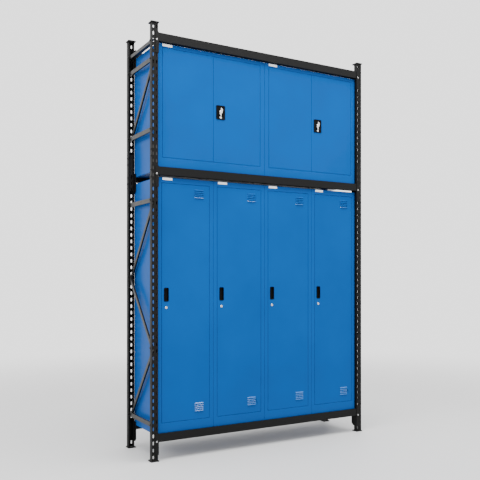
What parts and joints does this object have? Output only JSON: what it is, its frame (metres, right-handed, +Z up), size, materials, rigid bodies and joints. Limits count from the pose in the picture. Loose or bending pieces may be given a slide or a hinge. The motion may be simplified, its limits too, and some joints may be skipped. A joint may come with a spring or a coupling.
{
  "type": "locker cabinet in a storage rack",
  "caption": "Tall steel lockers in a row with double-door cabinets above them, carried on step beams in a free-standing slotted post rack.",
  "frame": {"origin": "on the floor, at the middle of the footprint", "axes": "+X along the row of lockers to the right, +Y to the back, +Z up; the doors face -Y"},
  "size_m": [1.922, 0.512, 3.118],
  "materials": {
    "rack_paint": "satin charcoal powder coat",
    "brace_steel": "semi-gloss charcoal powder coat",
    "carcass_paint": "semi-gloss blue powder coat",
    "door_paint": "semi-gloss blue powder coat",
    "black_plastic": "fine grained black moulding",
    "chrome": "polished",
    "zinc": "bright zinc plating"
  },
  "bodies": {
    "root": {"post_front_left_lower": "rack_paint", "post_front_left_upper": "rack_paint", "post_splice_front_left": "rack_paint", "post_front_right_lower": "rack_paint", "post_front_right_upper": "rack_paint", "post_splice_front_right": "rack_paint", "beam_front_bottom": "rack_paint", "beam_front_middle": "rack_paint", "beam_front_top": "rack_paint", "post_back_left_lower": "rack_paint", "post_back_left_upper": "rack_paint", "post_splice_back_left": "rack_paint", "post_back_right_lower": "rack_paint", "post_back_right_upper": "rack_paint", "post_splice_back_right": "rack_paint", "beam_back_bottom": "rack_paint", "beam_back_middle": "rack_paint", "beam_back_top": "rack_paint", "brace_left_low_pair": "brace_steel", "brace_left_middle_diagonal": "brace_steel", "brace_left_high_pair": "brace_steel", "brace_left_upper_panel": "brace_steel", "side_tie_left_top": "brace_steel", "brace_right_low_pair": "brace_steel", "brace_right_middle_diagonal": "brace_steel", "brace_right_high_pair": "brace_steel", "brace_right_upper_panel": "brace_steel", "side_tie_right_top": "brace_steel", "locker_1_body": "carcass_paint", "locker_2_body": "carcass_paint", "locker_3_body": "carcass_paint", "locker_4_body": "carcass_paint", "cabinet_left_body": "carcass_paint", "cabinet_left_shelf": "carcass_paint", "cabinet_right_body": "carcass_paint", "cabinet_right_shelf": "carcass_paint"},
    "locker_1_door": {"locker_1_door": "door_paint", "locker_1_cup_handle": "black_plastic"},
    "locker_1_cam_lock": {"locker_1_cam_lock": "chrome"},
    "locker_2_door": {"locker_2_door": "door_paint", "locker_2_cup_handle": "black_plastic"},
    "locker_2_cam_lock": {"locker_2_cam_lock": "chrome"},
    "locker_3_door": {"locker_3_door": "door_paint", "locker_3_cup_handle": "black_plastic"},
    "locker_3_cam_lock": {"locker_3_cam_lock": "chrome"},
    "locker_4_door": {"locker_4_door": "door_paint", "locker_4_cup_handle": "black_plastic"},
    "locker_4_cam_lock": {"locker_4_cam_lock": "chrome"},
    "cabinet_left_door_left": {"cabinet_left_door_left": "door_paint"},
    "cabinet_left_door_right": {"cabinet_left_door_right": "door_paint", "cabinet_left_handle_plate": "black_plastic"},
    "cabinet_left_swing_lever": {"cabinet_left_swing_lever": "chrome"},
    "cabinet_left_rod_up": {"cabinet_left_rod_up": "zinc"},
    "cabinet_left_rod_down": {"cabinet_left_rod_down": "zinc"},
    "cabinet_right_door_left": {"cabinet_right_door_left": "door_paint"},
    "cabinet_right_door_right": {"cabinet_right_door_right": "door_paint", "cabinet_right_handle_plate": "black_plastic"},
    "cabinet_right_swing_lever": {"cabinet_right_swing_lever": "chrome"},
    "cabinet_right_rod_up": {"cabinet_right_rod_up": "zinc"},
    "cabinet_right_rod_down": {"cabinet_right_rod_down": "zinc"}
  },
  "joints": [
    {"name": "locker_1_door_hinge", "type": "hinge", "parent": "root", "child": "locker_1_door", "pos_m": [-0.48435, -0.225, 0.2623], "axis": [0, 0, 1], "range_deg": [0, 110]},
    {"name": "locker_1_cam_turn", "type": "hinge", "parent": "locker_1_door", "child": "locker_1_cam_lock", "pos_m": [-0.83335, -0.225, 1.0883], "axis": [0, -1, 0], "range_deg": [0, 90]},
    {"name": "locker_2_door_hinge", "type": "hinge", "parent": "root", "child": "locker_2_door", "pos_m": [-0.03345, -0.225, 0.2623], "axis": [0, 0, 1], "range_deg": [0, 110]},
    {"name": "locker_2_cam_turn", "type": "hinge", "parent": "locker_2_door", "child": "locker_2_cam_lock", "pos_m": [-0.38245, -0.225, 1.0883], "axis": [0, -1, 0], "range_deg": [0, 90]},
    {"name": "locker_3_door_hinge", "type": "hinge", "parent": "root", "child": "locker_3_door", "pos_m": [0.41745, -0.225, 0.2623], "axis": [0, 0, 1], "range_deg": [0, 110]},
    {"name": "locker_3_cam_turn", "type": "hinge", "parent": "locker_3_door", "child": "locker_3_cam_lock", "pos_m": [0.06845, -0.225, 1.0883], "axis": [0, -1, 0], "range_deg": [0, 90]},
    {"name": "locker_4_door_hinge", "type": "hinge", "parent": "root", "child": "locker_4_door", "pos_m": [0.86835, -0.225, 0.2623], "axis": [0, 0, 1], "range_deg": [0, 110]},
    {"name": "locker_4_cam_turn", "type": "hinge", "parent": "locker_4_door", "child": "locker_4_cam_lock", "pos_m": [0.51935, -0.225, 1.0883], "axis": [0, -1, 0], "range_deg": [0, 90]},
    {"name": "cabinet_left_door_left_hinge", "type": "hinge", "parent": "root", "child": "cabinet_left_door_left", "pos_m": [-0.86135, -0.225, 2.1653], "axis": [0, 0, -1], "range_deg": [0, 95]},
    {"name": "cabinet_left_door_right_hinge", "type": "hinge", "parent": "root", "child": "cabinet_left_door_right", "pos_m": [-0.04045, -0.225, 2.1653], "axis": [0, 0, 1], "range_deg": [0, 95]},
    {"name": "cabinet_left_lever_turn", "type": "hinge", "parent": "cabinet_left_door_right", "child": "cabinet_left_swing_lever", "pos_m": [-0.39015, -0.225, 2.5453], "axis": [0, 1, 0], "range_deg": [0, 90]},
    {"name": "cabinet_left_rod_up_slide", "type": "slide", "parent": "cabinet_left_door_right", "child": "cabinet_left_rod_up", "axis": [0, 0, 1], "range_m": [0, 0.016]},
    {"name": "cabinet_left_rod_down_slide", "type": "slide", "parent": "cabinet_left_door_right", "child": "cabinet_left_rod_down", "axis": [0, 0, -1], "range_m": [0, 0.016]},
    {"name": "cabinet_right_door_left_hinge", "type": "hinge", "parent": "root", "child": "cabinet_right_door_left", "pos_m": [0.04045, -0.225, 2.1653], "axis": [0, 0, -1], "range_deg": [0, 95]},
    {"name": "cabinet_right_door_right_hinge", "type": "hinge", "parent": "root", "child": "cabinet_right_door_right", "pos_m": [0.86135, -0.225, 2.1653], "axis": [0, 0, 1], "range_deg": [0, 95]},
    {"name": "cabinet_right_lever_turn", "type": "hinge", "parent": "cabinet_right_door_right", "child": "cabinet_right_swing_lever", "pos_m": [0.51165, -0.225, 2.5453], "axis": [0, 1, 0], "range_deg": [0, 90]},
    {"name": "cabinet_right_rod_up_slide", "type": "slide", "parent": "cabinet_right_door_right", "child": "cabinet_right_rod_up", "axis": [0, 0, 1], "range_m": [0, 0.016]},
    {"name": "cabinet_right_rod_down_slide", "type": "slide", "parent": "cabinet_right_door_right", "child": "cabinet_right_rod_down", "axis": [0, 0, -1], "range_m": [0, 0.016]}
  ],
  "couplings": [
    {"joint": "cabinet_left_lever_turn", "follows": "cabinet_left_rod_up_slide", "rad_per_m": 98.17},
    {"joint": "cabinet_left_rod_down_slide", "follows": "cabinet_left_rod_up_slide", "ratio": 1},
    {"joint": "cabinet_right_lever_turn", "follows": "cabinet_right_rod_up_slide", "rad_per_m": 98.17},
    {"joint": "cabinet_right_rod_down_slide", "follows": "cabinet_right_rod_up_slide", "ratio": 1}
  ]
}
